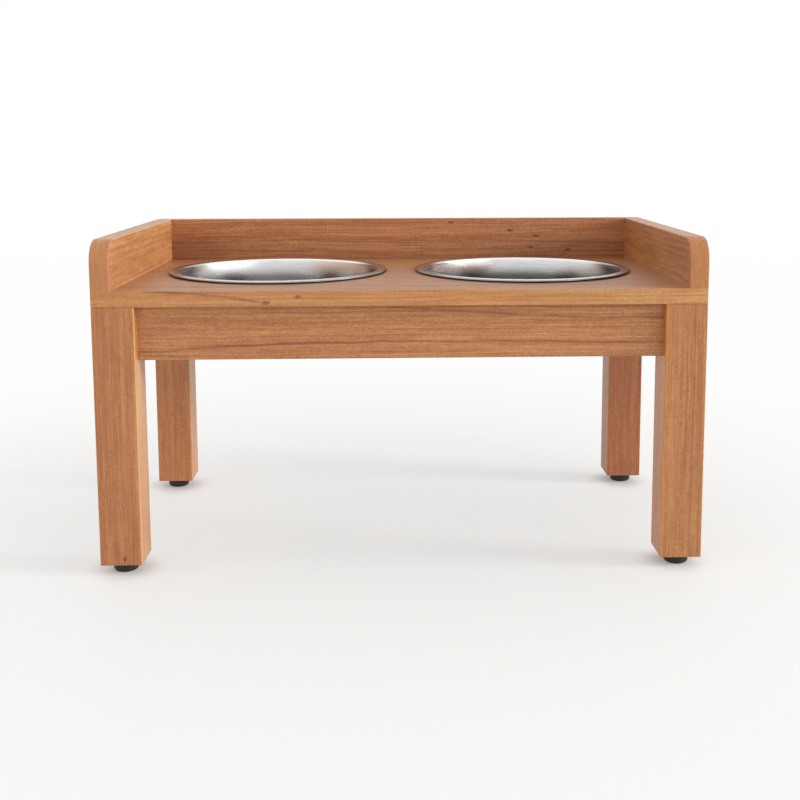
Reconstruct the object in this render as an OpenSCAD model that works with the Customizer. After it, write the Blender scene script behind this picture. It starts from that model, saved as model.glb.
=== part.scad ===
// Raised dog feeder: a wooden stand with two steel bowls that lift out of round cut-outs in its top.
// Millimetres. +X runs to the right, +Y to the back and +Z up.
// The origin is on the floor under the middle of the stand.
// The stand is laid out around its bowls, so its width and depth follow from them.

/* [Bowls] */
// Outside diameter of a bowl's rim
bowl_rim_d = 224; // [160:0.5:236]
// Width of the flange, from the bowl's inner wall to the outside of the rim
bowl_flange_w = 10.5; // [9:0.5:20]
// Height of a bowl, from its underside to the top of its rim
bowl_h = 70; // [45:1:90]
// Thickness of the sheet steel
bowl_sheet_t = 0.9; // [0.5:0.1:1.2]
// Diameter of the bead that is rolled along the rim
bowl_bead_d = 2.4; // [2:0.1:4]
// Radius of the bend from the flange into the wall
bowl_lip_r = 2.5; // [2:0.5:5]
// Radius of the bend from the wall into the bottom
bowl_bottom_r = 25; // [10:1:35]
// Slope of the lower wall from upright, in degrees
bowl_wall_slope = 1; // [0:1:8]
// Slope of the wall at the mouth, in degrees
bowl_mouth_slope = 12; // [9:1:30]
// Radius of the curve by which the wall flares out to the mouth
bowl_flare_r = 110; // [30:5:200]

/* [Layout] */
// Gap between the two rims
bowl_gap = 30; // [10:1:80]
// Gap between a rim and the side rail next to it
side_gap = 23.5; // [12:0.5:60]
// Width of the top in front of the rims
front_gap = 45.5; // [20:0.5:90]
// Gap between the rims and the back rail
back_gap = 13.5; // [10:0.5:60]

/* [Top and rails] */
// Thickness of the top panel
panel_t = 14.5; // [12:0.5:24]
// Height of the rails above the top panel
rail_h = 46; // [30:1:90]
// Thickness of the two side rails
side_rail_t = 17.5; // [14:0.5:26]
// Thickness of the back rail
back_rail_t = 12; // [10:0.5:26]
// Radius of the rounded front corner of a side rail
rail_corner_r = 21; // [6:1:28]
// Radius to which the edges of the wood are eased
edge_r = 1; // [0.4:0.1:2]

/* [Legs and aprons] */
// Side of a leg's square section
leg_w = 38.5; // [32:0.5:60]
// Length of a leg
leg_l = 241; // [120:1:420]
// Height of the aprons
apron_h = 50; // [40:1:90]
// Thickness of the aprons
apron_t = 18; // [14:0.5:22]
// How far the aprons stand back from the outer faces of the legs
apron_setback = 10; // [3:0.5:14]

/* [Corner blocks] */
// Length of a corner block along each apron, from the inner corner of the leg
block_l = 42; // [34:1:60]
// Height of a corner block
block_h = 30; // [20:1:38]
// Wood under the head of an apron screw
apron_screw_seat = 8; // [5:0.5:14]
// Wood under the head of a top screw
top_screw_seat = 10; // [6:0.5:16]
// Wood between a top screw's pocket and the slanted face of the block
block_wall = 3; // [2:0.5:5]

/* [Dowels] */
// Diameter of the dowels between aprons and legs
apron_dowel_d = 8; // [6:0.5:10]
// Depth of a dowel in the end of an apron
apron_dowel_depth = 16; // [10:1:30]
// Distance of a dowel from the upper or lower edge of its apron
apron_dowel_edge = 13; // [9:0.5:16]
// Wood between the dowels that meet inside a leg
leg_web = 2; // [1:0.5:4]
// Diameter of the dowels in the rails
rail_dowel_d = 6; // [4:0.5:8]
// Depth of a dowel in a rail
rail_dowel_depth = 14; // [8:1:24]
// Distance of the outermost dowels from the ends of a rail
rail_dowel_inset = 40; // [30:1:80]
// Distance of a corner dowel from the upper or lower edge of its rail
rail_dowel_edge = 11; // [8:0.5:12]
// Wood left beyond the end of a dowel or a screw
end_cover = 4.5; // [3:0.5:6]
// Gap around a dowel in its hole
dowel_clearance = 0.1; // [0.05:0.05:0.3]
// Gap at the end of a dowel or a screw in its hole
end_clearance = 0.5; // [0.2:0.1:1]

/* [Screws] */
// Diameter of a screw
screw_d = 4; // [3:0.5:5]
// Diameter of a screw's head
screw_head_d = 8; // [7:0.5:10]
// Height of a screw's head
screw_head_h = 2.8; // [2:0.1:4]
// Gap around a screw in its hole
screw_clearance = 0.1; // [0.05:0.05:0.3]
// Gap around a screw's head in its pocket
pocket_clearance = 0.75; // [0.5:0.05:1.2]

/* [Feet] */
// Diameter of a rubber foot
foot_d = 23; // [18:0.5:32]
// Height of a rubber foot
foot_h = 10; // [8:0.5:20]
// Radius of the rounded lower edge of a foot
foot_edge_r = 3; // [1:0.5:4]
// Diameter of the steel washer inside a foot
washer_d = 11; // [9:0.5:13]
// Thickness of the washer
washer_t = 1; // [0.5:0.1:1.5]
// Depth of a foot's screw in its leg
foot_screw_depth = 18; // [10:1:30]
// Gap between a foot's screw head and the floor
foot_screw_lift = 1.2; // [0.5:0.1:2]

/* [Clearances] */
// Gap between a bowl's wall and the edge of its cut-out
cutout_clearance = 2; // [1:0.25:3]
// Gap between a bowl's bead and the top panel
seat_clearance = 0.2; // [0.1:0.05:0.5]

/* [Hidden] */
$fn = 96;

// Colours
wood_tone = "#b9835a";
dowel_tone = "#d9b98a";
steel_tone = "#c4c6c8";
zinc_tone = "#9fa3a6";
rubber_tone = "#30302e";

// The stand around its bowls
stand_w = 2 * (side_rail_t + side_gap + bowl_rim_d) + bowl_gap;
stand_d = front_gap + bowl_rim_d + back_gap + back_rail_t;
left_x = -stand_w / 2;
front_y = -stand_d / 2;
back_y = stand_d / 2;
panel_z = foot_h + leg_l;
top_z = panel_z + panel_t;

// Bowls
rim_r = bowl_rim_d / 2;
mouth_r = rim_r - bowl_flange_w;
bowl_x = (bowl_rim_d + bowl_gap) / 2;
bowl_y = front_y + front_gap + rim_r;
cutout_r = mouth_r + bowl_sheet_t + cutout_clearance;
bead_r = bowl_bead_d / 2;
rim_z = seat_clearance + bowl_bead_d;

// Legs, aprons and corner blocks
apron_z = panel_z - apron_h;
apron_w = stand_w - 2 * leg_w;
apron_d = stand_d - 2 * leg_w;
leg_inside_x = left_x + leg_w;
leg_inside_y = front_y + leg_w;
apron_mid = apron_setback + apron_t / 2;
block_notch = leg_w - apron_setback - apron_t;
pocket_r = screw_head_d / 2 + pocket_clearance;
apron_screw_x = block_l - apron_screw_seat - screw_head_h - pocket_r;
top_screw_x = (block_l - block_notch - (pocket_r + block_wall) * sqrt(2)) / 2;

// Dowels and screws
leg_dowel_depth = leg_w - apron_mid - apron_dowel_d / 2 - leg_web;
apron_dowel_l = apron_dowel_depth + leg_dowel_depth;
apron_dowel_rows = [apron_z + apron_dowel_edge, panel_z - apron_dowel_edge];
rail_dowel_l = rail_dowel_depth + panel_t - end_cover;
corner_dowel_l = rail_dowel_depth + side_rail_t - end_cover;
corner_dowel_rows = [top_z + rail_dowel_edge, top_z + rail_h - rail_dowel_edge];
side_rail_mid = stand_w / 2 - side_rail_t / 2;
back_rail_mid = back_y - back_rail_t / 2;
back_rail_w = stand_w - 2 * side_rail_t;
side_dowel_count = 3;
back_dowel_count = 4;
apron_screw_l = apron_screw_seat + apron_t - end_cover;
top_screw_l = top_screw_seat + panel_t - end_cover;

// Feet
foot_recess_z = foot_screw_lift + screw_head_h + washer_t;
foot_screw_l = washer_t + foot_h - foot_recess_z + foot_screw_depth;
washer_gap = 0.5;

// Screw tips and the cross recesses in the screw heads
screw_tip_l = screw_d;
screw_tip_d = screw_d / 4;
drive_w = screw_head_d / 7;
drive_l = screw_head_d / 2;
drive_depth = screw_head_h / 2;

// How far a cut runs past the face that it opens
cut_margin = 1;

// Straight steps along each bend of a turned outline
foot_edge_steps = 12;
bottom_steps = 14;
flare_steps = 22;
lip_steps = 8;
bead_steps = 24;

// Points along an arc about c, from angle a to angle b
function arc(c, r, a, b, steps) =
    [for (k = [0:steps]) let (t = a + (b - a) * k / steps) c + r * [cos(t), sin(t)]];

// Places spread evenly between two ends, both included
function spread(a, b, count) = [for (k = [0:count - 1]) a + (b - a) * k / (count - 1)];

// Places the front left corner's pieces at any corner
module at_corner(right, rear) {
    mirror([right ? 1 : 0, 0, 0]) mirror([0, rear ? 1 : 0, 0]) children();
}

module each_corner() {
    for (right = [false, true], rear = [false, true]) at_corner(right, rear) children();
}

// A rectangle with rounded corners
module eased_rectangle(w, h) {
    translate([edge_r, 0]) square([w - 2 * edge_r, h]);
    translate([0, edge_r]) square([w, h - 2 * edge_r]);
    for (x = [edge_r, w - edge_r], y = [edge_r, h - edge_r]) translate([x, y]) circle(edge_r);
}

// A board from the origin with its edges eased, apart from those of a face that is glued to another board
// glued_low and glued_high hold 1 for each glued face, at the low and at the high end of X, Y and Z
module eased_board(size, glued_low = [0, 0, 0], glued_high = [0, 0, 0]) {
    blank = size + edge_r * (glued_low + glued_high);
    intersection() {
        cube(size);
        translate(-edge_r * glued_low) intersection() {
            linear_extrude(blank.z) eased_rectangle(blank.x, blank.y);
            translate([0, blank.y, 0]) rotate([90, 0, 0])
                linear_extrude(blank.y) eased_rectangle(blank.x, blank.z);
            rotate([90, 0, 90]) linear_extrude(blank.x) eased_rectangle(blank.y, blank.z);
        }
    }
}

// A round hole or peg along X, from the origin
module along_x(r, l) {
    rotate([0, 90, 0]) cylinder(r = r, h = l);
}

// The dowels of the two aprons that meet in the front left leg
module leg_corner_dowels(gap = 0, end_gap = 0) {
    r = apron_dowel_d / 2 + gap;
    l = apron_dowel_l + 2 * end_gap;
    for (z = apron_dowel_rows) {
        translate([leg_inside_x - leg_dowel_depth - end_gap, front_y + apron_mid, z]) along_x(r, l);
        translate([left_x + apron_mid, leg_inside_y - leg_dowel_depth - end_gap, z])
            rotate([0, 0, 90]) along_x(r, l);
    }
}

// The upright dowels between the top panel and the rails
module rail_dowel_set(gap = 0, end_gap = 0) {
    r = rail_dowel_d / 2 + gap;
    l = rail_dowel_l + 2 * end_gap;
    z = top_z - (panel_t - end_cover) - end_gap;
    for (y = spread(front_y + rail_dowel_inset, back_y - rail_dowel_inset, side_dowel_count))
        for (x = [-side_rail_mid, side_rail_mid]) translate([x, y, z]) cylinder(r = r, h = l);
    half_w = back_rail_w / 2 - rail_dowel_inset;
    for (x = spread(-half_w, half_w, back_dowel_count))
        translate([x, back_rail_mid, z]) cylinder(r = r, h = l);
}

// The level dowels that join the back rail to the side rails
module rail_corner_dowel_set(gap = 0, end_gap = 0) {
    r = rail_dowel_d / 2 + gap;
    l = corner_dowel_l + 2 * end_gap;
    for (right = [false, true], z = corner_dowel_rows)
        at_corner(right, false)
            translate([left_x + end_cover - end_gap, back_rail_mid, z]) along_x(r, l);
}

// A pan-head screw with its head's underside at the origin and its tip below
module screw(l) {
    difference() {
        cylinder(d = screw_head_d, h = screw_head_h);
        for (turn = [0, 90]) rotate([0, 0, turn])
            translate([-drive_l / 2, -drive_w / 2, screw_head_h - drive_depth])
                cube([drive_l, drive_w, drive_depth + cut_margin]);
    }
    translate([0, 0, screw_tip_l - l]) cylinder(d = screw_d, h = l - screw_tip_l);
    translate([0, 0, -l]) cylinder(d1 = screw_tip_d, d2 = screw_d, h = screw_tip_l);
}

// The hole of such a screw, with a pocket for its head
module screw_hole(l, pocket_depth) {
    translate([0, 0, -l - end_clearance])
        cylinder(r = screw_d / 2 + screw_clearance, h = l + end_clearance + cut_margin);
    cylinder(r = pocket_r, h = pocket_depth);
}

// Where the two apron screws of the front left corner sit
module at_apron_screws() {
    seat = apron_screw_seat - block_notch;
    z = panel_z - block_h / 2;
    translate([leg_inside_x + apron_screw_x, leg_inside_y + seat, z]) rotate([-90, 0, 0]) children();
    translate([leg_inside_x + seat, leg_inside_y + apron_screw_x, z]) rotate([0, 90, 0]) children();
}

// Where the top screw of the front left corner sits
module at_top_screw() {
    translate([leg_inside_x + top_screw_x, leg_inside_y + top_screw_x, panel_z - top_screw_seat])
        rotate([180, 0, 0]) children();
}

// Where the foot screw of the front left leg sits
module at_foot_screw() {
    translate([left_x + leg_w / 2, front_y + leg_w / 2, foot_recess_z - washer_t])
        rotate([180, 0, 0]) children();
}

module top_panel() {
    color(wood_tone) difference() {
        translate([left_x, front_y, panel_z])
            eased_board([stand_w, stand_d, panel_t], glued_high = [0, 0, 1]);
        for (x = [-bowl_x, bowl_x]) translate([x, bowl_y, panel_z - cut_margin])
            cylinder(r = cutout_r, h = panel_t + 2 * cut_margin);
        rail_dowel_set(dowel_clearance, end_clearance);
        each_corner() at_top_screw() screw_hole(top_screw_l, screw_head_h);
    }
}

module back_rail() {
    color(wood_tone) difference() {
        translate([-back_rail_w / 2, back_y - back_rail_t, top_z])
            eased_board([back_rail_w, back_rail_t, rail_h], [1, 0, 1], [1, 0, 0]);
        rail_dowel_set(dowel_clearance, end_clearance);
        rail_corner_dowel_set(dowel_clearance, end_clearance);
    }
}

// A side rail with its upper front corner rounded, from the origin
module side_rail_blank() {
    size = [side_rail_t, stand_d, rail_h];
    intersection() {
        eased_board(size, glued_low = [0, 0, 1]);
        union() {
            translate([0, rail_corner_r, 0]) cube(size);
            cube(size - [0, 0, rail_corner_r]);
            translate([0, rail_corner_r, rail_h - rail_corner_r]) rotate([0, 90, 0]) rotate([0, 0, 180])
                rotate_extrude(angle = 90) intersection() {
                    translate([-rail_corner_r, 0]) eased_rectangle(2 * rail_corner_r, side_rail_t);
                    square([rail_corner_r, side_rail_t]);
                }
        }
    }
}

module side_rail(right) {
    color(wood_tone) difference() {
        at_corner(right, false) translate([left_x, front_y, top_z]) side_rail_blank();
        rail_dowel_set(dowel_clearance, end_clearance);
        rail_corner_dowel_set(dowel_clearance, end_clearance);
    }
}

module left_rail() { side_rail(false); }

module right_rail() { side_rail(true); }

// Takes the dowel holes and the screw holes of all corners out of a piece
module drilled() {
    difference() {
        children();
        each_corner() {
            leg_corner_dowels(dowel_clearance, end_clearance);
            at_apron_screws() screw_hole(apron_screw_l, screw_head_h);
        }
    }
}

// The apron along the front, or along the back
module long_apron(rear) {
    color(wood_tone) drilled() at_corner(false, rear)
        translate([-apron_w / 2, front_y + apron_setback, apron_z])
            eased_board([apron_w, apron_t, apron_h], [1, 0, 0], [1, 0, 1]);
}

// The apron along the left side, or along the right
module short_apron(right) {
    color(wood_tone) drilled() at_corner(right, false)
        translate([left_x + apron_setback, -apron_d / 2, apron_z])
            eased_board([apron_t, apron_d, apron_h], [0, 1, 0], [0, 1, 1]);
}

module front_apron() { long_apron(false); }

module rear_apron() { long_apron(true); }

module left_apron() { short_apron(false); }

module right_apron() { short_apron(true); }

module leg(right, rear) {
    color(wood_tone) at_corner(right, rear) difference() {
        translate([left_x, front_y, foot_h]) eased_board([leg_w, leg_w, leg_l]);
        leg_corner_dowels(dowel_clearance, end_clearance);
        at_foot_screw() screw_hole(foot_screw_l, screw_head_h);
    }
}

module front_left_leg() { leg(false, false); }

module front_right_leg() { leg(true, false); }

module rear_left_leg() { leg(false, true); }

module rear_right_leg() { leg(true, true); }

// A corner block, notched around the leg and cut at a slant inside
module corner_block(right, rear) {
    notch = block_notch;
    color(wood_tone) at_corner(right, rear) difference() {
        translate([leg_inside_x, leg_inside_y, panel_z - block_h]) linear_extrude(block_h)
            polygon([[0, 0], [0, -notch], [block_l, -notch], [-notch, block_l], [-notch, 0]]);
        at_apron_screws() screw_hole(apron_screw_l, block_l);
        at_top_screw() screw_hole(top_screw_l, block_h);
    }
}

module front_left_block() { corner_block(false, false); }

module front_right_block() { corner_block(true, false); }

module rear_left_block() { corner_block(false, true); }

module rear_right_block() { corner_block(true, true); }

module apron_dowels() {
    color(dowel_tone) each_corner() leg_corner_dowels();
}

module rail_dowels() {
    color(dowel_tone) rail_dowel_set();
}

module rail_corner_dowels() {
    color(dowel_tone) rail_corner_dowel_set();
}

module apron_screws() {
    color(zinc_tone) each_corner() at_apron_screws() screw(apron_screw_l);
}

module top_screws() {
    color(zinc_tone) each_corner() at_top_screw() screw(top_screw_l);
}

// A rubber foot with a recess for its washer and screw head
module foot(right, rear) {
    r = foot_d / 2;
    hole_r = screw_d / 2 + screw_clearance;
    recess_r = washer_d / 2 + washer_gap;
    lower_edge = arc([r - foot_edge_r, foot_edge_r], foot_edge_r, -90, 0, foot_edge_steps);
    outline = concat([[recess_r, 0]], lower_edge, [[r, foot_h], [hole_r, foot_h]]);
    recess = [[hole_r, foot_recess_z], [recess_r, foot_recess_z]];
    color(rubber_tone) at_corner(right, rear) translate([left_x + leg_w / 2, front_y + leg_w / 2, 0])
        rotate_extrude() polygon(concat(outline, recess));
}

module front_left_foot() { foot(false, false); }

module front_right_foot() { foot(true, false); }

module rear_left_foot() { foot(false, true); }

module rear_right_foot() { foot(true, true); }

module foot_washers() {
    color(zinc_tone) each_corner() at_foot_screw() translate([0, 0, -washer_t]) difference() {
        cylinder(d = washer_d, h = washer_t);
        translate([0, 0, -cut_margin])
            cylinder(r = screw_d / 2 + screw_clearance, h = washer_t + 2 * cut_margin);
    }
}

module foot_screws() {
    color(zinc_tone) each_corner() at_foot_screw() screw(foot_screw_l);
}

// A pressed bowl: flat bottom, flaring wall, flange and rolled bead, about the Z axis from the top panel
module bowl(x) {
    low = bowl_wall_slope;
    high = bowl_mouth_slope;
    t = bowl_sheet_t;
    floor_z = rim_z - bowl_h + t;
    bend_z = floor_z + bowl_bottom_r;
    lip = [mouth_r + bowl_lip_r, rim_z - bowl_lip_r];
    wall_h = lip.y + bowl_lip_r * sin(high) - bend_z + bowl_bottom_r * sin(low);
    flare_r = min(bowl_flare_r, wall_h / (sin(high) - sin(low)));
    flare = lip + (flare_r - bowl_lip_r) * [cos(high), -sin(high)];
    bend_x = flare.x + ((bend_z - flare.y) * sin(low) - bowl_bottom_r - flare_r) / cos(low);
    bend = [bend_x, bend_z];
    bead = [rim_r - bead_r, rim_z - bead_r];
    bead_end = -180 - asin(1 - t / bead_r);
    inside = concat(
        [[0, floor_z]],
        arc(bend, bowl_bottom_r, -90, -low, bottom_steps),
        arc(flare, flare_r, 180 - low, 180 - high, flare_steps),
        arc(lip, bowl_lip_r, 180 - high, 90, lip_steps)
    );
    rolled = arc(bead, bead_r, 90, bead_end, bead_steps);
    outside = concat(
        arc(lip, bowl_lip_r - t, 90, 180 - high, lip_steps),
        arc(flare, flare_r - t, 180 - high, 180 - low, flare_steps),
        arc(bend, bowl_bottom_r + t, -low, -90, bottom_steps),
        [[0, floor_z - t]]
    );
    color(steel_tone) translate([x, bowl_y, top_z])
        rotate_extrude() polygon(concat(inside, rolled, outside));
}

module left_bowl() { bowl(-bowl_x); }

module right_bowl() { bowl(bowl_x); }

top_panel();
back_rail();
left_rail();
right_rail();
front_apron();
rear_apron();
left_apron();
right_apron();
front_left_leg();
front_right_leg();
rear_left_leg();
rear_right_leg();
front_left_block();
front_right_block();
rear_left_block();
rear_right_block();
apron_dowels();
rail_dowels();
rail_corner_dowels();
apron_screws();
top_screws();
front_left_foot();
front_right_foot();
rear_left_foot();
rear_right_foot();
foot_washers();
foot_screws();
left_bowl();
right_bowl();
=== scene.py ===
"""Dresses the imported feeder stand: cherry boards, satin steel bowls, rubber feet and a pale studio."""

from math import pi, radians

import bmesh
import bpy
from bpy.props import FloatProperty, FloatVectorProperty, PointerProperty
from mathutils import Euler, Matrix, Vector


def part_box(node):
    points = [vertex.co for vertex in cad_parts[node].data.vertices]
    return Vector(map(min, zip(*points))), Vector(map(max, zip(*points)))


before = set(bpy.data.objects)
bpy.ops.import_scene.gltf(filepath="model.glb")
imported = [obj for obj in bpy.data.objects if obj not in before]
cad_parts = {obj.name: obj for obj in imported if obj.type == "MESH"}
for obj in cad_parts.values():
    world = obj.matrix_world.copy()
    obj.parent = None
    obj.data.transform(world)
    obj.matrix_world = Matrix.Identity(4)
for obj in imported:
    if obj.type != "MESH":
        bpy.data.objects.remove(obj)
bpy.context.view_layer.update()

bl_info = {
    "name": "Feeder stand finishes",
    "version": (1, 0, 0),
    "blender": (4, 5, 0),
    "location": "View3D > Sidebar > Feeder",
    "description": "Finishes for a raised feeder stand with two lift-out bowls",
    "category": "Material",
}

CORNERS = ("front_left", "front_right", "rear_left", "rear_right")

# How a board is turned so that its grain runs along X
GRAIN_TURN = {"X": (0.0, 0.0, 0.0), "Y": (0.0, 0.0, -pi / 2), "Z": (0.0, pi / 2, 0.0)}

# Wood figure: scales of its noises along and across the grain, per metre
WANDER_SCALE = (4.0, 9.0, 9.0)
RIPPLE_SCALE = (70.0, 120.0, 120.0)
CLOUD_SCALE = (5.0, 26.0, 26.0)
PORE_SCALE = (170.0, 2700.0, 2700.0)
FLECK_SCALE = (30.0, 84.0, 84.0)
FIBRE_SCALE = (5.0, 600.0, 600.0)

# Wood figure: shorter fibres and fine grain, as multiples of the fibres' scale
SHORT_FIBRE_STEP = (6.0, 1.0, 1.0)
FINE_GRAIN_STEP = (75.0, 1.1, 1.1)

# Wood figure: how far the grain wanders in metres, and what goes into the way from the light tone to the dark one
GRAIN_WANDER = (0.0, 0.008, 0.008)
MIDDLE_TONE = 0.44
CLOUD_AMOUNT = 0.22
RIPPLE_AMOUNT = 0.14
FIBRE_AMOUNT = 0.62
SHORT_FIBRE_AMOUNT = 0.42
FINE_GRAIN_AMOUNT = 0.50

# Depths of the surface relief and width of the eased edges, in metres
WOOD_RELIEF = 0.00012
STEEL_RELIEF = 0.00001
RUBBER_RELIEF = 0.00004
EDGE_WIDTH = 0.0016

# Tones and tints of the top panel and the back rail
NO_TINT = (1.0, 1.0, 1.0)
SAPWOOD_TONE = (0.465, 0.190, 0.071)
SAPWOOD_SHARE = 0.40
FRONT_TINT = (1.19, 1.24, 1.09)
FRONT_RIGHT_TINT = (1.04, 1.11, 1.17)
# Painted contact shadow round each rim, and painted shade in the corners of the top panel and the back rail
RIM_SHADOW_TONE = (0.060, 0.022, 0.010)
RIM_SHADOW_SHARE = 0.35
PANEL_CORNER_SHADE = (0.62, 0.56, 0.60)
RAIL_FOOT_SHADE = (0.80, 0.83, 0.88)
RAIL_END_SHADE = (0.74, 0.74, 0.77)

# Bowls: radii where the wall turns into the flange, and the flange into the rolled rim
LIP = 0.1015
ROLL = 0.1098

# Bowls: tones of the steel, and how steeply the flange falls to the front
STREAK_DULLING = 0.82
SPOT_TONE = (0.25, 0.25, 0.25)
FLANGE_TONE = (0.98, 0.98, 0.97)
# Painted dark reflections at the ends of the bowls, and painted shade on the rolled rim and in the crevice under it
WALL_END_SHADE = (0.045, 0.044, 0.042)
FLANGE_END_SHADE = (0.44, 0.48, 0.50)
ROLL_SHADE = (0.10, 0.095, 0.09)
CREVICE_SHADE = (0.09, 0.085, 0.08)
FLANGE_FALL = -0.055

# Stage: backdrop, lamps and camera
WHITE = (1.0, 1.0, 1.0, 1.0)
DIM_WHITE = (1.0, 0.99, 0.97, 1.0)
LAMP_AIM = Vector((0.0, 0.0, 0.20))
KEY_MIRRORED = 0.25
RIGHT_MIRRORED = 0.4
SENSOR_WIDTH = 36.0
CAMERA_CLIP = (0.05, 60.0)

# Stage: the floor's size, level and finish, its lift to white far from the stand, and what of it is left at a foot
FLOOR_HALF = 14.0
FLOOR_LEVEL = -0.0002
FLOOR_ROUGHNESS = 0.6
FLOOR_SPECULAR = 0.2
FAR_LIFT = 0.92
FOOT_LIFT = 0.35


def tone(label, what, default):
    return FloatVectorProperty(
        name=label, description=what, subtype="COLOR", size=3, min=0.0, max=1.0, default=default
    )


def length(label, what, default):
    return FloatProperty(name=label, description=what, unit="LENGTH", min=0.0, default=default)


def share(label, what, default):
    return FloatProperty(name=label, description=what, subtype="FACTOR", min=0.0, max=1.0, default=default)


def power(label, what, default):
    return FloatProperty(name=label, description=what, unit="POWER", min=0.0, default=default)


def angle(label, what, default):
    return FloatProperty(name=label, description=what, unit="ROTATION", default=radians(default))


class FeederWoodSettings(bpy.types.PropertyGroup):
    light_tone: tone("Light tone", "Early wood between the growth lines", (0.590, 0.270, 0.106))
    dark_tone: tone("Dark tone", "Redder wood that clouds the boards", (0.360, 0.128, 0.044))
    line_tone: tone("Line tone", "Growth lines and pores", (0.180, 0.036, 0.016))
    fleck_tone: tone("Fleck tone", "Gum flecks and pin knots", (0.120, 0.022, 0.010))
    ring_spacing: length("Ring spacing", "Distance between growth lines", 0.0200)
    line_strength: share("Line strength", "How dark the growth lines are", 0.90)
    fleck_share: share("Fleck share", "Share of the places that carry a fleck", 0.03)
    # Painted highlight along the eased edges, which also reads as paler wear
    edge_highlight_tone: tone("Edge tone", "Paler wood along the eased edges", (0.700, 0.420, 0.235))
    edge_highlight_share: share("Edge share", "How far the eased edges go to that tone", 0.30)
    gloss: share("Roughness", "Roughness of the satin oil finish", 0.34)
    dowel_light: tone("Dowel light tone", "Pale wood of the dowels", (0.68, 0.50, 0.30))
    dowel_dark: tone("Dowel dark tone", "Darker streaks in the dowels", (0.56, 0.38, 0.20))


class FeederMetalSettings(bpy.types.PropertyGroup):
    bowl_tone: tone("Bowl tone", "Stainless steel of the bowls", (0.82, 0.82, 0.81))
    rim_roughness: share("Rim roughness", "Roughness of the polished rim", 0.15)
    bowl_roughness: share("Bowl roughness", "Roughness of the satin steel inside", 0.26)
    zinc_tone: tone("Zinc tone", "Plating of the screws and washers", (0.52, 0.53, 0.55))
    zinc_roughness: share("Zinc roughness", "Roughness of the plating", 0.36)


class FeederRubberSettings(bpy.types.PropertyGroup):
    tone: tone("Tone", "Black rubber of the feet", (0.010, 0.009, 0.008))
    dust_tone: tone("Dust tone", "Paler bloom on the rubber", (0.030, 0.028, 0.025))
    roughness: share("Roughness", "Roughness of the moulded rubber", 0.55)


class FeederStageSettings(bpy.types.PropertyGroup):
    camera_place: FloatVectorProperty(
        name="Camera place",
        description="Where the camera stands",
        subtype="TRANSLATION",
        unit="LENGTH",
        size=3,
        default=(-0.00913, -1.12493, 0.39510),
    )
    camera_pan: angle("Camera pan", "Turn to the right from straight ahead", 2.0295)
    camera_tilt: angle("Camera tilt", "Tilt below the horizon", 7.0487)
    camera_roll: angle("Camera roll", "Turn about the line of sight", -0.0892)
    camera_lens: FloatProperty(
        name="Camera lens", description="Focal length in millimetres", unit="CAMERA", default=49.05
    )
    shift_x: FloatProperty(name="Shift across", description="Sideways lens shift", default=-0.0381)
    shift_y: FloatProperty(name="Shift up", description="Upward lens shift", default=-0.1494)
    floor_tone: tone("Floor tone", "Pale studio floor", (0.885, 0.885, 0.860))
    floor_lift: share("Floor lift", "How far the floor under the stand is lifted to white", 0.48)
    ambient: FloatProperty(name="Ambient", description="Light from all around", min=0.0, default=0.70)
    key_power: power("Key softbox", "Key light at the right", 250.0)
    right_power: power("Right softbox", "Wide light at the front right", 114.0)
    corner_power: power("Corner softbox", "Fill light at the front left", 5.0)
    left_power: power("Left softbox", "Fill light at the left", 16.0)


class Tree:
    """A node tree with short ways to add nodes and join them."""

    columns = 8

    def __init__(self, tree):
        self.tree = tree

    def feed(self, socket, value):
        if isinstance(value, bpy.types.NodeSocket):
            self.tree.links.new(value, socket)
        else:
            socket.default_value = value

    def add(self, kind, feeds=None, **settings):
        count = len(self.tree.nodes)
        node = self.tree.nodes.new(kind)
        node.location = (count % self.columns * 240, count // self.columns * -320)
        for key, value in settings.items():
            setattr(node, key, value)
        for key, value in (feeds or {}).items():
            self.feed(node.inputs[key], value)
        return node

    def math(self, operation, *values, clamp=False):
        return self.add("ShaderNodeMath", dict(enumerate(values)), operation=operation, use_clamp=clamp).outputs[0]

    def chain(self, operation, result, *others):
        for value in others:
            result = self.math(operation, result, value)
        return result

    def plus(self, *values):
        return self.chain("ADD", *values)

    def times(self, *values):
        return self.chain("MULTIPLY", *values)

    def hypotenuse(self, *sides):
        return self.math("SQRT", self.plus(*[self.math("POWER", side, 2.0) for side in sides]))

    def vector(self, operation, *values):
        return self.add("ShaderNodeVectorMath", dict(enumerate(values)), operation=operation).outputs[0]

    def span(self, value, low, high, to_low=0.0, to_high=1.0):
        feeds = {"Value": value, "From Min": low, "From Max": high, "To Min": to_low, "To Max": to_high}
        return self.add("ShaderNodeMapRange", feeds, interpolation_type="SMOOTHSTEP").outputs["Result"]

    def noise(self, vector, detail=2.0, roughness=0.5):
        feeds = {"Vector": vector, "Scale": 1.0, "Detail": detail, "Roughness": roughness}
        return self.add("ShaderNodeTexNoise", feeds)

    def scaled_noise(self, vector, scale, low, high, to_low=0.0, to_high=1.0, **figure):
        noise = self.noise(self.vector("MULTIPLY", vector, scale), **figure)
        return self.span(noise.outputs[0], low, high, to_low, to_high)

    def split(self, vector):
        return self.add("ShaderNodeSeparateXYZ", {0: vector}).outputs

    def norm(self, vector):
        return self.add("ShaderNodeVectorMath", {0: vector}, operation="LENGTH").outputs["Value"]

    def plan_distance(self, place, centre):
        return self.norm(self.vector("MULTIPLY", self.vector("SUBTRACT", place, centre), (1.0, 1.0, 0.0)))

    def group(self, group, feeds):
        return self.add("ShaderNodeGroup", feeds, node_tree=group).outputs

    def seen_by(self, *rays):
        path = self.add("ShaderNodeLightPath").outputs
        return self.chain("MAXIMUM", *[path[ray] for ray in rays])

    def blend(self, factor, first, second, kind="MIX"):
        feeds = {0: factor, 6: first, 7: second}
        return self.add("ShaderNodeMix", feeds, data_type="RGBA", blend_type=kind).outputs[2]


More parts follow.
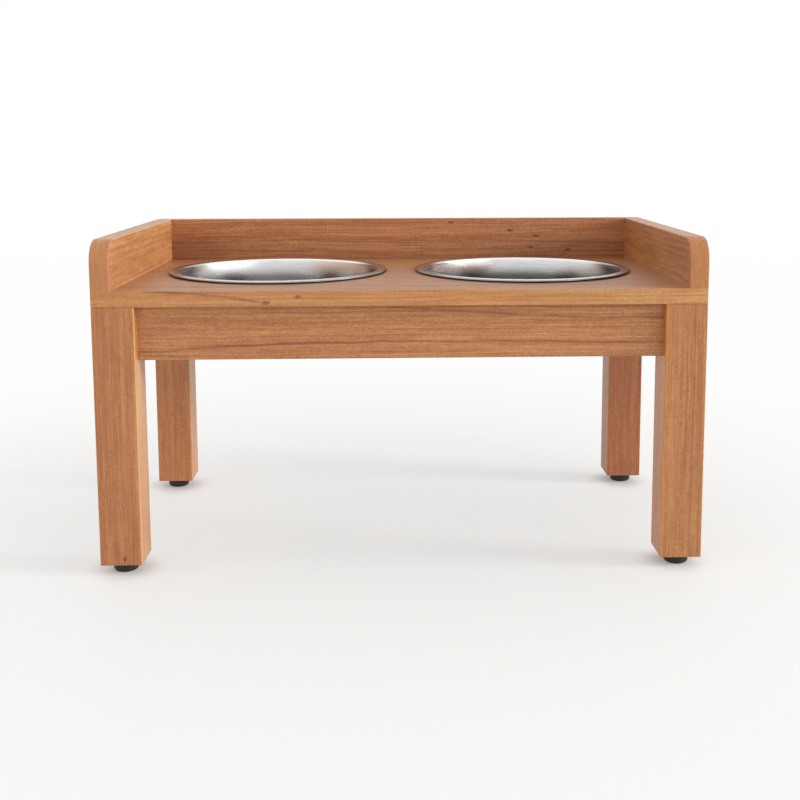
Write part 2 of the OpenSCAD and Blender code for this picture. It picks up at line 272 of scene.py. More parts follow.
def node_group(name, inputs, outputs):
    """An empty shader node group with these sockets, as a Tree with its input and output nodes."""
    group = bpy.data.node_groups.new(name, "ShaderNodeTree")
    for kind, sockets in (("INPUT", inputs), ("OUTPUT", outputs)):
        for label, socket_type in sockets:
            group.interface.new_socket(label, in_out=kind, socket_type=f"NodeSocket{socket_type}")
    tree = Tree(group)
    return group, tree, tree.add("NodeGroupInput").outputs, tree.add("NodeGroupOutput").inputs


def wood_figure_group():
    """Growth lines round a pith that runs along X, with fibres, pores, clouds and flecks."""
    name = "Wood figure"
    if name in bpy.data.node_groups:
        return bpy.data.node_groups[name]
    group, tree, given, made = node_group(
        name,
        [
            ("Vector", "Vector"),
            ("Seed", "Float"),
            ("Fibre Scale", "Vector"),
            ("Fibre Depth", "Float"),
            ("Light Tone", "Color"),
            ("Dark Tone", "Color"),
            ("Line Tone", "Color"),
            ("Fleck Tone", "Color"),
            ("Ring Spacing", "Float"),
            ("Line Strength", "Float"),
            ("Fleck Share", "Float"),
            ("Roughness", "Float"),
        ],
        [("Color", "Color"), ("Roughness", "Float"), ("Height", "Float")],
    )
    # Slow wander of the grain across the board
    seed = tree.add("ShaderNodeCombineXYZ", {0: given["Seed"]}).outputs[0]
    place = tree.vector("ADD", given["Vector"], seed)
    drift = tree.noise(tree.vector("MULTIPLY", place, WANDER_SCALE))
    drift = tree.vector("SUBTRACT", drift.outputs["Color"], (0.5, 0.5, 0.5))
    drift = tree.vector("MULTIPLY", drift, GRAIN_WANDER)
    wandered = tree.vector("ADD", place, drift)
    # Thin growth lines by distance from the pith, sharp on their outer side
    apart = tree.split(tree.vector("ADD", given["Vector"], drift))
    ring = tree.math("DIVIDE", tree.hypotenuse(apart[1], apart[2]), given["Ring Spacing"])
    gap = tree.times(tree.math("SUBTRACT", 1.0, tree.math("FRACT", ring)), given["Ring Spacing"])
    late = tree.times(tree.span(gap, 0.0030, 0.0008), 0.80)
    late = tree.plus(late, tree.times(tree.span(gap, 0.0090, 0.0), 0.15))
    weight = tree.add("ShaderNodeTexWhiteNoise", {"W": tree.math("FLOOR", ring)}, noise_dimensions="1D").outputs[0]
    weight = tree.span(weight, 0.0, 1.0, 0.5, 1.0)
    # Long and short fibres, fine grain, pores and soft clouds stretched along the grain
    stretched = tree.vector("MULTIPLY", wandered, given["Fibre Scale"])
    fibre = tree.span(tree.noise(stretched).outputs[0], 0.32, 0.68)
    shorter = tree.scaled_noise(stretched, SHORT_FIBRE_STEP, 0.32, 0.68)
    grain = tree.scaled_noise(stretched, FINE_GRAIN_STEP, 0.30, 0.70, detail=1.0)
    ripple = tree.scaled_noise(place, RIPPLE_SCALE, 0.30, 0.70, detail=3.0, roughness=0.6)
    cloud = tree.scaled_noise(place, CLOUD_SCALE, 0.30, 0.72, detail=3.0)
    pore = tree.scaled_noise(wandered, PORE_SCALE, 0.60, 0.72, detail=1.0)
    # Scattered gum flecks, longer along the grain
    cells = {"Vector": tree.vector("MULTIPLY", wandered, FLECK_SCALE), "Scale": 1.0}
    cell = tree.add("ShaderNodeTexVoronoi", cells).outputs
    chosen = tree.add("ShaderNodeSeparateColor", {0: cell["Color"]}).outputs[0]
    chosen = tree.math("LESS_THAN", chosen, given["Fleck Share"])
    fleck = tree.times(chosen, tree.span(cell["Distance"], 0.17, 0.06), tree.span(fibre, 0.0, 0.6, 0.45, 1.0))
    # Colour, with the fibres going as far to the light side as to the dark one
    threads = tree.plus(
        tree.times(fibre, FIBRE_AMOUNT), tree.times(shorter, SHORT_FIBRE_AMOUNT), tree.times(grain, FINE_GRAIN_AMOUNT)
    )
    half = (FIBRE_AMOUNT + SHORT_FIBRE_AMOUNT + FINE_GRAIN_AMOUNT) / 2
    threads = tree.times(tree.math("SUBTRACT", threads, half), given["Fibre Depth"])
    depth = tree.plus(tree.times(cloud, CLOUD_AMOUNT), tree.times(ripple, RIPPLE_AMOUNT), MIDDLE_TONE, threads)
    colour = tree.blend(depth, given["Light Tone"], given["Dark Tone"])
    line = tree.times(late, weight, given["Line Strength"], tree.span(fibre, 0.0, 1.0, 0.6, 1.0))
    colour = tree.blend(line, colour, given["Line Tone"])
    colour = tree.blend(tree.times(pore, 0.22), colour, given["Line Tone"])
    colour = tree.blend(tree.times(fleck, 0.85), colour, given["Fleck Tone"])
    tree.feed(made["Color"], colour)
    # Finish
    rough = tree.plus(given["Roughness"], tree.times(fibre, 0.06))
    rough = tree.math("ADD", rough, tree.times(pore, 0.10), clamp=True)
    tree.feed(made["Roughness"], rough)
    height = tree.math("SUBTRACT", tree.times(fibre, 0.35), tree.times(pore, 0.55))
    height = tree.math("SUBTRACT", height, tree.times(line, 0.35))
    tree.feed(made["Height"], tree.math("SUBTRACT", height, tree.times(fleck, 0.6)))
    return group


def board_edge_group():
    """The edges along a board's two faces across X, from the box that the board fills."""
    name = "Board edge"
    if name in bpy.data.node_groups:
        return bpy.data.node_groups[name]
    group, tree, given, made = node_group(
        name, [("Vector", "Vector"), ("Low", "Vector"), ("High", "Vector"), ("Width", "Float")], [("Edge", "Float")]
    )
    inward = tree.vector("SUBTRACT", given["Vector"], given["Low"])
    onward = tree.vector("SUBTRACT", given["High"], given["Vector"])
    apart = tree.split(tree.vector("MINIMUM", inward, onward))
    near = tree.math("MAXIMUM", apart[0], tree.math("MINIMUM", apart[1], apart[2]))
    tree.feed(made["Edge"], tree.span(near, given["Width"], 0.0))
    return group


def pin_knot_group():
    """A small dark spot round a place, with a ragged outline."""
    name = "Pin knot"
    if name in bpy.data.node_groups:
        return bpy.data.node_groups[name]
    group, tree, given, made = node_group(
        name, [("Vector", "Vector"), ("Place", "Vector"), ("Size", "Vector")], [("Knot", "Float")]
    )
    away = tree.vector("DIVIDE", tree.vector("SUBTRACT", given["Vector"], given["Place"]), given["Size"])
    ragged = tree.scaled_noise(given["Vector"], (700.0, 700.0, 700.0), 0.3, 0.7, -0.25, 0.25)
    tree.feed(made["Knot"], tree.span(tree.plus(tree.norm(away), ragged), 1.0, 0.3))
    return group


def growth_line_group():
    """A dark line along X that bows up or down from a level."""
    name = "Growth line"
    if name in bpy.data.node_groups:
        return bpy.data.node_groups[name]
    group, tree, given, made = node_group(
        name, [("Vector", "Vector"), ("Level", "Float"), ("Centre", "Float"), ("Bow", "Float")], [("Line", "Float")]
    )
    apart = tree.split(given["Vector"])
    along = tree.math("POWER", tree.math("SUBTRACT", apart[0], given["Centre"]), 2.0)
    wander = tree.scaled_noise(given["Vector"], (16.0, 16.0, 16.0), 0.3, 0.7, -0.0009, 0.0009)
    level = tree.plus(given["Level"], wander, tree.times(along, given["Bow"]))
    near = tree.math("ABSOLUTE", tree.math("SUBTRACT", apart[2], level))
    line = tree.times(tree.span(near, 0.0016, 0.0003), 0.75)
    line = tree.plus(line, tree.times(tree.span(near, 0.0050, 0.0), 0.25))
    faint = tree.scaled_noise(given["Vector"], (40.0, 40.0, 300.0), 0.3, 0.7, 0.6, 1.0)
    tree.feed(made["Line"], tree.times(line, faint))
    return group


def fine_speckle_group():
    """Small soft spots and streaks that break up a plain finish."""
    name = "Fine speckle"
    if name in bpy.data.node_groups:
        return bpy.data.node_groups[name]
    group, tree, given, made = node_group(
        name,
        [("Vector", "Vector"), ("Streak Scale", "Vector"), ("Spot Scale", "Float")],
        [("Streak", "Float"), ("Spot", "Float")],
    )
    streak = tree.scaled_noise(given["Vector"], given["Streak Scale"], 0.28, 0.72, detail=3.0, roughness=0.65)
    tree.feed(made["Streak"], streak)
    spot = tree.add("ShaderNodeTexNoise", {"Vector": given["Vector"], "Scale": given["Spot Scale"], "Detail": 3.0})
    tree.feed(made["Spot"], tree.span(spot.outputs[0], 0.32, 0.68))
    return group


def opaque(colour, change=1.0):
    """A colour with its alpha, made darker or lighter."""
    return (*[channel * change for channel in colour], 1.0)


def start_material(name):
    """A new material as a Tree, with its shader and its Object coordinates."""
    material = bpy.data.materials.new(name)
    material.use_nodes = True
    tree = Tree(material.node_tree)
    shader = material.node_tree.nodes["Principled BSDF"]
    return material, tree, shader, tree.add("ShaderNodeTexCoord").outputs["Object"]


def add_bump(tree, shader, height, depth):
    bump = tree.add("ShaderNodeBump", {"Height": height, "Strength": 1.0, "Distance": depth})
    tree.feed(shader.inputs["Normal"], bump.outputs[0])


def wood_material(
    name, grain, pith, seed, tones, spacing, strength, flecks, fibre=FIBRE_SCALE, fibre_depth=1.0
):
    """Wood with its grain along an axis; pith is a point on the heart of the tree that the board came from."""
    material, tree, shader, place = start_material(name)
    turn = Euler(GRAIN_TURN[grain])
    shift = -(turn.to_matrix() @ Vector(pith))
    mapping = tree.add("ShaderNodeMapping", {"Vector": place, "Location": shift, "Rotation": turn})
    light, dark, line, fleck = (opaque(colour) for colour in tones)
    feeds = {
        "Vector": mapping.outputs[0],
        "Seed": seed,
        "Fibre Scale": fibre,
        "Fibre Depth": fibre_depth,
        "Light Tone": light,
        "Dark Tone": dark,
        "Line Tone": line,
        "Fleck Tone": fleck,
        "Ring Spacing": spacing,
        "Line Strength": strength,
        "Fleck Share": flecks,
        "Roughness": bpy.context.scene.feeder_wood.gloss,
    }
    figure = tree.group(wood_figure_group(), feeds)
    tree.feed(shader.inputs["Base Color"], figure["Color"])
    tree.feed(shader.inputs["Roughness"], figure["Roughness"])
    add_bump(tree, shader, figure["Height"], WOOD_RELIEF)
    return material, tree, shader, place


def speckle(tree, vector, streak_scale, spot_scale):
    """The streaks and spots of the fine speckle, as two outputs."""
    feeds = {"Vector": vector, "Streak Scale": streak_scale, "Spot Scale": spot_scale}
    made = tree.group(fine_speckle_group(), feeds)
    return made["Streak"], made["Spot"]


def glaze(tree, shader, factor, colour, kind="MIX"):
    """Lays a colour over what the shader's base colour is so far."""
    plain = shader.inputs["Base Color"].links[0].from_socket
    tree.feed(shader.inputs["Base Color"], tree.blend(factor, plain, opaque(colour), kind))


def cherry(node, grain, pith, seed, tint=NO_TINT, edges=True, **figure):
    """Dresses one board in cherry of its own tint, with paler edges that are a painted highlight as well as wear."""
    wood = bpy.context.scene.feeder_wood
    tones = [
        [channel * change for channel, change in zip(colour, tint)]
        for colour in (wood.light_tone, wood.dark_tone, wood.line_tone, wood.fleck_tone)
    ]
    usual = {"spacing": wood.ring_spacing, "strength": wood.line_strength, "flecks": wood.fleck_share}
    name = f"Cherry {node.replace('_', ' ')}"
    material, tree, shader, place = wood_material(name, grain, pith, seed, tones, **{**usual, **figure})
    if edges:
        # Painted highlight along the eased edges, which also reads as paler wear
        low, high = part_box(node)
        edge = tree.group(board_edge_group(), {"Vector": place, "Low": low, "High": high, "Width": EDGE_WIDTH})
        glaze(tree, shader, tree.times(edge["Edge"], wood.edge_highlight_share), wood.edge_highlight_tone)
    dress(node, material)
    return tree, shader, place


def growth_line(tree, shader, place, level, centre, bow, depth):
    """Lays one dark line over the wood; depth is a share or a mask."""
    line = tree.group(growth_line_group(), {"Vector": place, "Level": level, "Centre": centre, "Bow": bow})
    glaze(tree, shader, tree.times(line["Line"], depth), bpy.context.scene.feeder_wood.line_tone)


def pin_knots(tree, shader, place, *knots):
    """Lays dark knots over the wood, each given as its place, size and depth of tone."""
    for spot, size, depth in knots:
        knot = tree.group(pin_knot_group(), {"Vector": place, "Place": spot, "Size": size})
        glaze(tree, shader, tree.times(knot["Knot"], depth), bpy.context.scene.feeder_wood.fleck_tone)


def dress(node, material):
    """Gives a node of the frame its finish."""
    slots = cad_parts[node].data.materials
    slots.clear()
    slots.append(material)


class FEEDER_OT_top(bpy.types.Operator):
    """Finish the top panel, with a paler strip of sapwood along its front edge"""

    bl_idname = "feeder.finish_top"
    bl_label = "Top panel"

    def execute(self, context):
        low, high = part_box("top_panel")
        tree, shader, place = cherry(
            "top_panel", "X", (0.0, -0.118, 0.285), 0.31, (0.95, 1.00, 1.03), False, strength=0.3, flecks=0.0
        )
        apart = tree.split(place)
        front = tree.span(apart[1], low.y + 0.004, low.y + 0.001)
        glaze(tree, shader, tree.times(front, SAPWOOD_SHARE), SAPWOOD_TONE)
        glaze(tree, shader, front, FRONT_TINT, "MULTIPLY")
        glaze(tree, shader, tree.times(front, tree.span(apart[0], 0.03, 0.22)), FRONT_RIGHT_TINT, "MULTIPLY")
        # Painted shade, darker along the corner under the back rail, on the upper face alone
        rail_low, rail_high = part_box("back_rail")
        shade = tree.times(
            tree.span(apart[1], rail_low.y - 0.012, rail_low.y - 0.001),
            tree.span(apart[1], rail_low.y + 0.003, rail_low.y + 0.001),
            tree.span(tree.math("ABSOLUTE", apart[0]), rail_high.x + 0.001, rail_high.x - 0.001),
            tree.span(apart[2], high.z - 0.003, high.z - 0.001),
        )
        glaze(tree, shader, shade, PANEL_CORNER_SHADE, "MULTIPLY")
        # Painted contact shadow, a dark line where each rim rests
        for bowl in ("left_bowl", "right_bowl"):
            rim_low, rim_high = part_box(bowl)
            centre, radius = (rim_low + rim_high) / 2, (rim_high.x - rim_low.x) / 2
            near = tree.math("ABSOLUTE", tree.math("SUBTRACT", tree.plan_distance(place, centre), radius))
            glaze(tree, shader, tree.times(tree.span(near, 0.0022, 0.0006), RIM_SHADOW_SHARE), RIM_SHADOW_TONE)
        # One growth line arches down across the front edge at the left
        arch = tree.times(
            tree.span(apart[0], -0.2414, -0.2186), tree.span(apart[0], -0.1217, -0.1331), front, 0.60
        )
        growth_line(tree, shader, place, high.z + 0.001, -0.2414, -0.8464, arch)
        knots = (
            ((-0.1234, low.y, 0.2550), (0.0050, 0.012, 0.0030), 0.65),
            ((-0.0946, low.y, 0.2600), (0.0046, 0.012, 0.0026), 0.65),
        )
        pin_knots(tree, shader, place, *knots)
        return {"FINISHED"}


class FEEDER_OT_rails(bpy.types.Operator):
    """Finish the rails round the back and sides"""

    bl_idname = "feeder.finish_rails"
    bl_label = "Rails"

    def execute(self, context):
        figure = {"strength": 0.15, "flecks": 0.0, "fibre_depth": 0.85}
        tree, shader, place = cherry("back_rail", "X", (-0.05, 0.1955, 0.188), 1.4, (1.07, 1.02, 1.05), **figure)
        growth_line(tree, shader, place, 0.2872, -0.04, -0.055, 0.50)
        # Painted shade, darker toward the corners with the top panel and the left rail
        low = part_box("back_rail")[0]
        apart = tree.split(place)
        inside = tree.span(apart[1], low.y + 0.004, low.y + 0.001)
        foot = tree.times(inside, tree.span(apart[2], low.z + 0.028, low.z + 0.004))
        glaze(tree, shader, foot, RAIL_FOOT_SHADE, "MULTIPLY")
        end = tree.times(
            inside,
            tree.span(apart[0], low.x + 0.080, low.x + 0.030),
            tree.span(apart[2], low.z + 0.040, low.z + 0.016),
        )
        glaze(tree, shader, end, RAIL_END_SHADE, "MULTIPLY")
        for x, z, tall in (
            (0.0592, 0.3071, 0.0015),
            (0.1279, 0.2975, 0.0022),
            (0.1585, 0.2911, 0.0020),
            (0.1522, 0.2778, 0.0014),
            (0.1955, 0.2746, 0.0024),
        ):
            pin_knots(tree, shader, place, ((x, low.y, z), (0.0052, 0.02, tall), 0.85))
        figure = {"spacing": 0.006, "strength": 0.25, "flecks": 0.0, "fibre": (5.0, 640.0, 320.0), "fibre_depth": 0.8}
        for node, pith, seed, tint, end_tone in (
            # The left rail's tint is lighter than the wood's own tone: painted light and sheen on its inner face
            ("left_rail", (-0.55, 0.0, 0.285), 2.6, (1.18, 1.32, 1.33), (0.530, 0.225, 0.084)),
            ("right_rail", (0.55, 0.0, 0.300), 3.7, (1.09, 1.08, 1.06), (0.500, 0.208, 0.071)),
        ):
            tree, shader, place = cherry(node, "Y", pith, seed, tint, **figure)
            # Plainer end grain at the front, with faint upright streaks
            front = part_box(node)[0].y
            end = tree.span(tree.split(place)[1], front + 0.012, front + 0.002)
            glaze(tree, shader, tree.times(end, 0.75), end_tone)
            streak = speckle(tree, place, (600.0, 40.0, 40.0), 500.0)[0]
            glaze(tree, shader, tree.times(end, streak, 0.22), context.scene.feeder_wood.line_tone)
        return {"FINISHED"}


class FEEDER_OT_aprons(bpy.types.Operator):
    """Finish the aprons under the top"""

    bl_idname = "feeder.finish_aprons"
    bl_label = "Aprons"

    def execute(self, context):
        figure = {"strength": 0.15, "flecks": 0.0, "fibre_depth": 0.75}
        tint = (1.07, 1.09, 1.07)
        tree, shader, place = cherry("front_apron", "X", (0.05, -0.0875, 0.10), 5.2, tint, False, **figure)
        growth_line(tree, shader, place, 0.2170, 0.045, -0.105, 0.70)
        growth_line(tree, shader, place, 0.2372, 0.26, 0.165, 0.60)
        cherry("rear_apron", "X", (0.0, 0.100, 0.270), 6.3, edges=False)
        cherry("left_apron", "Y", (-0.235, 0.0, 0.180), 7.1, edges=False)
        cherry("right_apron", "Y", (0.240, 0.0, 0.275), 8.4, edges=False)
        return {"FINISHED"}


class FEEDER_OT_legs(bpy.types.Operator):
    """Finish the legs"""

    bl_idname = "feeder.finish_legs"
    bl_label = "Legs"

    def execute(self, context):
        for node, pith, seed, tint, inner_lighting_tint, fibre_depth in (
            ("front_left_leg", (-0.330, -0.060, 0.0), 9.5, (1.05, 1.02, 1.01), (1.10, 1.26, 1.15), 0.5),
            ("front_right_leg", (0.200, -0.050, 0.0), 10.2, (1.03, 1.05, 1.01), (1.20, 1.04, 0.70), 0.6),
            ("rear_left_leg", (-0.320, 0.040, 0.0), 11.8, (1.14, 1.09, 1.10), (1.05, 1.12, 1.12), 0.6),
            ("rear_right_leg", (0.330, 0.050, 0.0), 12.7, (0.85, 0.73, 0.76), (1.03, 1.00, 0.62), 0.6),
        ):
            low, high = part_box(node)
            figure = {"strength": 0.2, "flecks": 0.0, "fibre_depth": fibre_depth}
            tree, shader, place = cherry(node, "Z", pith, seed, tint, **figure)
            if node == "front_left_leg":
                pin_knots(tree, shader, place, ((-0.2574, low.y, 0.0161), (0.0016, 0.010, 0.0045), 0.8))
            # Painted light and shade: another tone on the side that faces inward, for how light falls on it
            side = tree.math("ABSOLUTE", tree.split(place)[0])
            inner = min(abs(low.x), abs(high.x))
            glaze(tree, shader, tree.span(side, inner + 0.004, inner + 0.001), inner_lighting_tint, "MULTIPLY")
        return {"FINISHED"}


class FEEDER_OT_blocks(bpy.types.Operator):
    """Finish the corner blocks behind the aprons"""

    bl_idname = "feeder.finish_blocks"
    bl_label = "Corner blocks"

    def execute(self, context):
        for count, side in enumerate(CORNERS):
            cherry(f"{side}_block", "X", (0.0, 0.05, 0.20), 13.6 + count, (0.95, 0.95, 0.95), edges=False)
        return {"FINISHED"}


class FEEDER_OT_dowels(bpy.types.Operator):
    """Finish the dowels inside the joints"""

    bl_idname = "feeder.finish_dowels"
    bl_label = "Dowels"

    def execute(self, context):
        wood = context.scene.feeder_wood
        tones = (wood.dowel_light, wood.dowel_dark, wood.dowel_dark, wood.dowel_dark)
        for node, grain, seed in (
            ("apron_dowels", "X", 21.0),
            ("rail_dowels", "Z", 22.0),
            ("rail_corner_dowels", "X", 23.0),
        ):
            name = f"Beech {node.replace('_', ' ')}"
            dress(node, wood_material(name, grain, (0.1, 0.1, 0.2), seed, tones, 0.0025, 0.3, 0.0)[0])
        return {"FINISHED"}


class FEEDER_OT_bowls(bpy.types.Operator):
    """Finish the bowls in satin steel, brushed round their axes"""

    bl_idname = "feeder.finish_bowls"
    bl_label = "Bowls"

    def execute(self, context):
        metal = context.scene.feeder_metal
        for node, depth_shade, band in (("left_bowl", 0.68, 0.008), ("right_bowl", 0.48, 0.004)):
            low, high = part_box(node)
            centre = (low + high) / 2
            material, tree, shader, place = start_material(f"Satin steel {node.replace('_', ' ')}")
            tree.feed(shader.inputs["Metallic"], 1.0)
            mapping = tree.add("ShaderNodeMapping", {"Vector": place, "Location": (-centre.x, -centre.y, -low.z)})
            apart = tree.split(mapping.outputs[0])
            turn = tree.math("ARCTAN2", apart[1], apart[0])
            reach = tree.hypotenuse(apart[0], apart[1])
            rolled = tree.add("ShaderNodeCombineXYZ", {0: tree.times(turn, 0.1), 1: reach, 2: apart[2]})
            streak, spot = speckle(tree, rolled.outputs[0], (60.0, 2600.0, 2600.0), 600.0)
            bright, dull = opaque(metal.bowl_tone), opaque(metal.bowl_tone, STREAK_DULLING)
            tree.feed(shader.inputs["Base Color"], tree.blend(streak, bright, dull))
            # Painted shade down the inside, darker toward the bottom by a tone of each bowl's own, with fine spots
            # there, and a brighter flange
            top = high.z - low.z
            deep_shade = tree.span(apart[2], top - 0.003, top - 0.024)
            glaze(tree, shader, deep_shade, (depth_shade, depth_shade, depth_shade), "MULTIPLY")
            glaze(tree, shader, tree.times(spot, deep_shade, 0.22), SPOT_TONE)
            flange = tree.span(reach, LIP - 0.0005, LIP + 0.0009)
            glaze(tree, shader, tree.times(flange, 0.9), FLANGE_TONE)
            # Painted dark reflections at the two ends, where steep walls face each other and the flange faces the
            # rails
            aside = tree.math("ABSOLUTE", apart[0])
            ends = tree.times(tree.span(aside, 0.086, 0.098), tree.span(reach, LIP + 0.0007, LIP - 0.0007))
            glaze(tree, shader, tree.times(ends, 0.95), WALL_END_SHADE)
            ends = tree.times(tree.span(aside, 0.075, 0.100), flange)
            glaze(tree, shader, ends, FLANGE_END_SHADE, "MULTIPLY")
            # Painted shade on the outer side of the rolled rim, and in the crevice under it
            glaze(tree, shader, tree.times(tree.span(reach, ROLL + 0.0006, ROLL + 0.0016), 0.7), ROLL_SHADE)
            crevice_shade = tree.times(
                tree.span(reach, ROLL, ROLL + 0.0008), tree.span(apart[2], top - 0.0008, top - 0.0014)
            )
            glaze(tree, shader, crevice_shade, CREVICE_SHADE)
            # Polished rim over a satin inside that is smoother below a band and duller at the bottom
            rough = tree.span(apart[2], top - 0.0040, top - 0.0008, metal.bowl_roughness, metal.rim_roughness)
            rough = tree.plus(
                rough,
                tree.span(apart[2], top - band, top - band - 0.010, 0.0, -0.09),
                tree.span(apart[2], top - 0.020, top - 0.032, 0.0, 0.20),
                tree.times(streak, 0.05),
                tree.times(spot, 0.05),
            )
            tree.feed(shader.inputs["Roughness"], rough)
            # Brushed streaks, and a flange that falls a little to the front
            outward = tree.math("MAXIMUM", tree.math("SUBTRACT", reach, LIP), 0.0)
            ahead = tree.math("MAXIMUM", tree.math("DIVIDE", tree.times(apart[1], -1.0), reach), 0.0)
            fall = tree.times(outward, FLANGE_FALL, ahead)
            add_bump(tree, shader, tree.plus(fall, tree.times(streak, STEEL_RELIEF)), 1.0)
            dress(node, material)
        return {"FINISHED"}


class FEEDER_OT_screws(bpy.types.Operator):
    """Finish the screws and washers in zinc plate"""

    bl_idname = "feeder.finish_screws"
    bl_label = "Screws and washers"

    def execute(self, context):
        metal = context.scene.feeder_metal
        material, tree, shader, place = start_material("Zinc plate")
        tree.feed(shader.inputs["Metallic"], 1.0)
        streak, spot = speckle(tree, place, (900.0, 900.0, 1800.0), 500.0)
        bright, dull = opaque(metal.zinc_tone), opaque(metal.zinc_tone, 0.75)
        tree.feed(shader.inputs["Base Color"], tree.blend(spot, bright, dull))
        tree.feed(shader.inputs["Roughness"], tree.plus(metal.zinc_roughness, tree.times(streak, 0.12)))
        add_bump(tree, shader, spot, STEEL_RELIEF)
        for node in ("apron_screws", "top_screws", "foot_screws", "foot_washers"):
            dress(node, material)
        return {"FINISHED"}


class FEEDER_OT_feet(bpy.types.Operator):
    """Finish the feet in moulded rubber"""

    bl_idname = "feeder.finish_feet"
    bl_label = "Feet"

    def execute(self, context):
        rubber = context.scene.feeder_rubber
        material, tree, shader, place = start_material("Moulded rubber")
        streak, spot = speckle(tree, place, (2200.0, 2200.0, 2200.0), 260.0)
        bloom = tree.blend(tree.times(spot, 0.6), opaque(rubber.tone), opaque(rubber.dust_tone))
        tree.feed(shader.inputs["Base Color"], bloom)
        tree.feed(shader.inputs["Roughness"], tree.plus(rubber.roughness, tree.times(streak, 0.15)))
        add_bump(tree, shader, streak, RUBBER_RELIEF)
        for side in CORNERS:
            dress(f"{side}_foot", material)
        return {"FINISHED"}


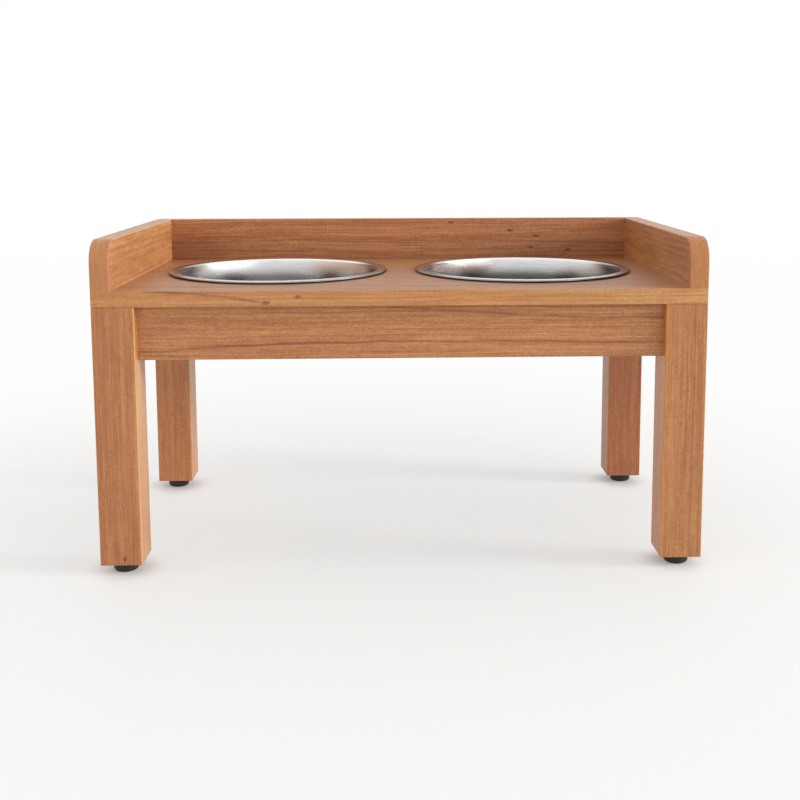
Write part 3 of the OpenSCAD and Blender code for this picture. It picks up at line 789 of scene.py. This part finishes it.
class FEEDER_OT_stage(bpy.types.Operator):
    """Set the floor, the softboxes, the backdrop and the camera"""

    bl_idname = "feeder.set_stage"
    bl_label = "Stage"

    def execute(self, context):
        stage = context.scene.feeder_stage
        context.scene.view_settings.view_transform = "Standard"
        self.lay_floor(stage)
        self.set_backdrop(context.scene, stage)
        for name, place, size, watts in (
            ("Key softbox", (6.00, -1.00, 1.65), (1.6, 1.5), stage.key_power),
            ("Right softbox", (5.80, -3.00, 2.10), (5.4, 1.7), stage.right_power),
            ("Corner softbox", (-2.50, -2.90, 1.75), (3.6, 3.6), stage.corner_power),
            ("Left softbox", (-3.70, -0.40, 1.30), (2.6, 2.6), stage.left_power),
        ):
            self.hang_softbox(name, place, size, watts).visible_glossy = False
        # What the steel mirrors is the upper part of the two lamps at the right
        for name, place, size, watts in (
            ("Key reflection", (6.00, -0.40, 2.40), (2.8, 0.5), stage.key_power * KEY_MIRRORED),
            ("Right reflection", (5.80, -3.00, 2.60), (5.4, 0.7), stage.right_power * RIGHT_MIRRORED),
        ):
            self.hang_softbox(name, place, size, watts).visible_diffuse = False
        self.place_camera(context.scene, stage)
        return {"FINISHED"}

    def lay_floor(self, stage):
        mesh = bpy.data.meshes.new("studio_floor")
        sheet = bmesh.new()
        level = Matrix.Translation((0.0, 0.0, FLOOR_LEVEL))
        bmesh.ops.create_grid(sheet, x_segments=1, y_segments=1, size=FLOOR_HALF, matrix=level)
        sheet.to_mesh(mesh)
        sheet.free()
        floor = bpy.data.objects.new("studio_floor", mesh)
        bpy.context.scene.collection.objects.link(floor)
        material, tree, shader, place = start_material("Studio floor")
        tree.feed(shader.inputs["Base Color"], opaque(stage.floor_tone))
        tree.feed(shader.inputs["Roughness"], FLOOR_ROUGHNESS)
        tree.feed(shader.inputs["Specular IOR Level"], FLOOR_SPECULAR)
        far = tree.norm(place)
        lift = tree.span(far, 0.2, 1.0, stage.floor_lift, FAR_LIFT)
        lift = tree.plus(lift, tree.span(far, 1.0, 4.0, 0.0, 1.0 - FAR_LIFT))
        # Less lift close to the feet, where they shade the floor
        for side in CORNERS:
            low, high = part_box(f"{side}_foot")
            away = tree.plan_distance(place, (low + high) / 2)
            lift = tree.times(lift, tree.span(away, 0.014, 0.042, FOOT_LIFT, 1.0))
        lift = tree.times(lift, tree.seen_by("Is Camera Ray", "Is Glossy Ray"))
        white = tree.add("ShaderNodeEmission", {"Color": WHITE, "Strength": 1.0})
        mixed = tree.add("ShaderNodeMixShader", {0: lift, 1: shader.outputs[0], 2: white.outputs[0]})
        tree.feed(material.node_tree.nodes["Material Output"].inputs["Surface"], mixed.outputs[0])
        mesh.materials.append(material)

    def set_backdrop(self, scene, stage):
        world = bpy.data.worlds.new("Studio backdrop")
        world.use_nodes = True
        scene.world = world
        tree = Tree(world.node_tree)
        white = world.node_tree.nodes["Background"]
        tree.feed(white.inputs["Color"], WHITE)
        tree.feed(white.inputs["Strength"], 1.0)
        dim = tree.add("ShaderNodeBackground", {"Color": DIM_WHITE, "Strength": stage.ambient})
        seen = tree.seen_by("Is Camera Ray", "Is Glossy Ray", "Is Transmission Ray")
        mixed = tree.add("ShaderNodeMixShader", {0: seen, 1: dim.outputs[0], 2: white.outputs[0]})
        tree.feed(world.node_tree.nodes["World Output"].inputs["Surface"], mixed.outputs[0])

    def hang_softbox(self, name, place, size, watts):
        lamp = bpy.data.lights.new(name, "AREA")
        lamp.shape = "RECTANGLE"
        lamp.size, lamp.size_y = size
        lamp.energy = watts
        softbox = bpy.data.objects.new(name, lamp)
        softbox.location = place
        softbox.rotation_euler = (LAMP_AIM - Vector(place)).to_track_quat("-Z", "Y").to_euler()
        bpy.context.scene.collection.objects.link(softbox)
        return softbox

    def place_camera(self, scene, stage):
        lens = bpy.data.cameras.new("Camera")
        lens.sensor_width = SENSOR_WIDTH
        lens.lens = stage.camera_lens
        lens.shift_x, lens.shift_y = stage.shift_x, stage.shift_y
        lens.clip_start, lens.clip_end = CAMERA_CLIP
        camera = bpy.data.objects.new("Camera", lens)
        pan = Matrix.Rotation(-stage.camera_pan, 4, "Z")
        tilt = Matrix.Rotation(pi / 2 - stage.camera_tilt, 4, "X")
        roll = Matrix.Rotation(stage.camera_roll, 4, "Z")
        camera.matrix_world = Matrix.Translation(stage.camera_place) @ pan @ tilt @ roll
        scene.collection.objects.link(camera)
        scene.camera = camera


OPERATORS = (
    FEEDER_OT_top,
    FEEDER_OT_rails,
    FEEDER_OT_aprons,
    FEEDER_OT_legs,
    FEEDER_OT_blocks,
    FEEDER_OT_dowels,
    FEEDER_OT_bowls,
    FEEDER_OT_screws,
    FEEDER_OT_feet,
    FEEDER_OT_stage,
)
SETTINGS = {
    "feeder_wood": FeederWoodSettings,
    "feeder_metal": FeederMetalSettings,
    "feeder_rubber": FeederRubberSettings,
    "feeder_stage": FeederStageSettings,
}


class FEEDER_PT_finishes(bpy.types.Panel):
    """Lists the finishes and their settings"""

    bl_idname = "FEEDER_PT_finishes"
    bl_label = "Feeder stand"
    bl_space_type = "VIEW_3D"
    bl_region_type = "UI"
    bl_category = "Feeder"

    def draw(self, context):
        for operator in OPERATORS:
            self.layout.operator(operator.bl_idname)
        for key, settings in SETTINGS.items():
            box = self.layout.box()
            for name in settings.__annotations__:
                box.prop(getattr(context.scene, key), name)


CLASSES = (*SETTINGS.values(), *OPERATORS, FEEDER_PT_finishes)


def register():
    for item in CLASSES:
        bpy.utils.register_class(item)
    for key, settings in SETTINGS.items():
        setattr(bpy.types.Scene, key, PointerProperty(type=settings))


def unregister():
    for key in SETTINGS:
        delattr(bpy.types.Scene, key)
    for item in reversed(CLASSES):
        bpy.utils.unregister_class(item)


def main():
    register()
    for step in (
        bpy.ops.feeder.finish_top,
        bpy.ops.feeder.finish_rails,
        bpy.ops.feeder.finish_aprons,
        bpy.ops.feeder.finish_legs,
        bpy.ops.feeder.finish_blocks,
        bpy.ops.feeder.finish_dowels,
        bpy.ops.feeder.finish_bowls,
        bpy.ops.feeder.finish_screws,
        bpy.ops.feeder.finish_feet,
        bpy.ops.feeder.set_stage,
    ):
        step()


if __name__ == "__main__":
    main()
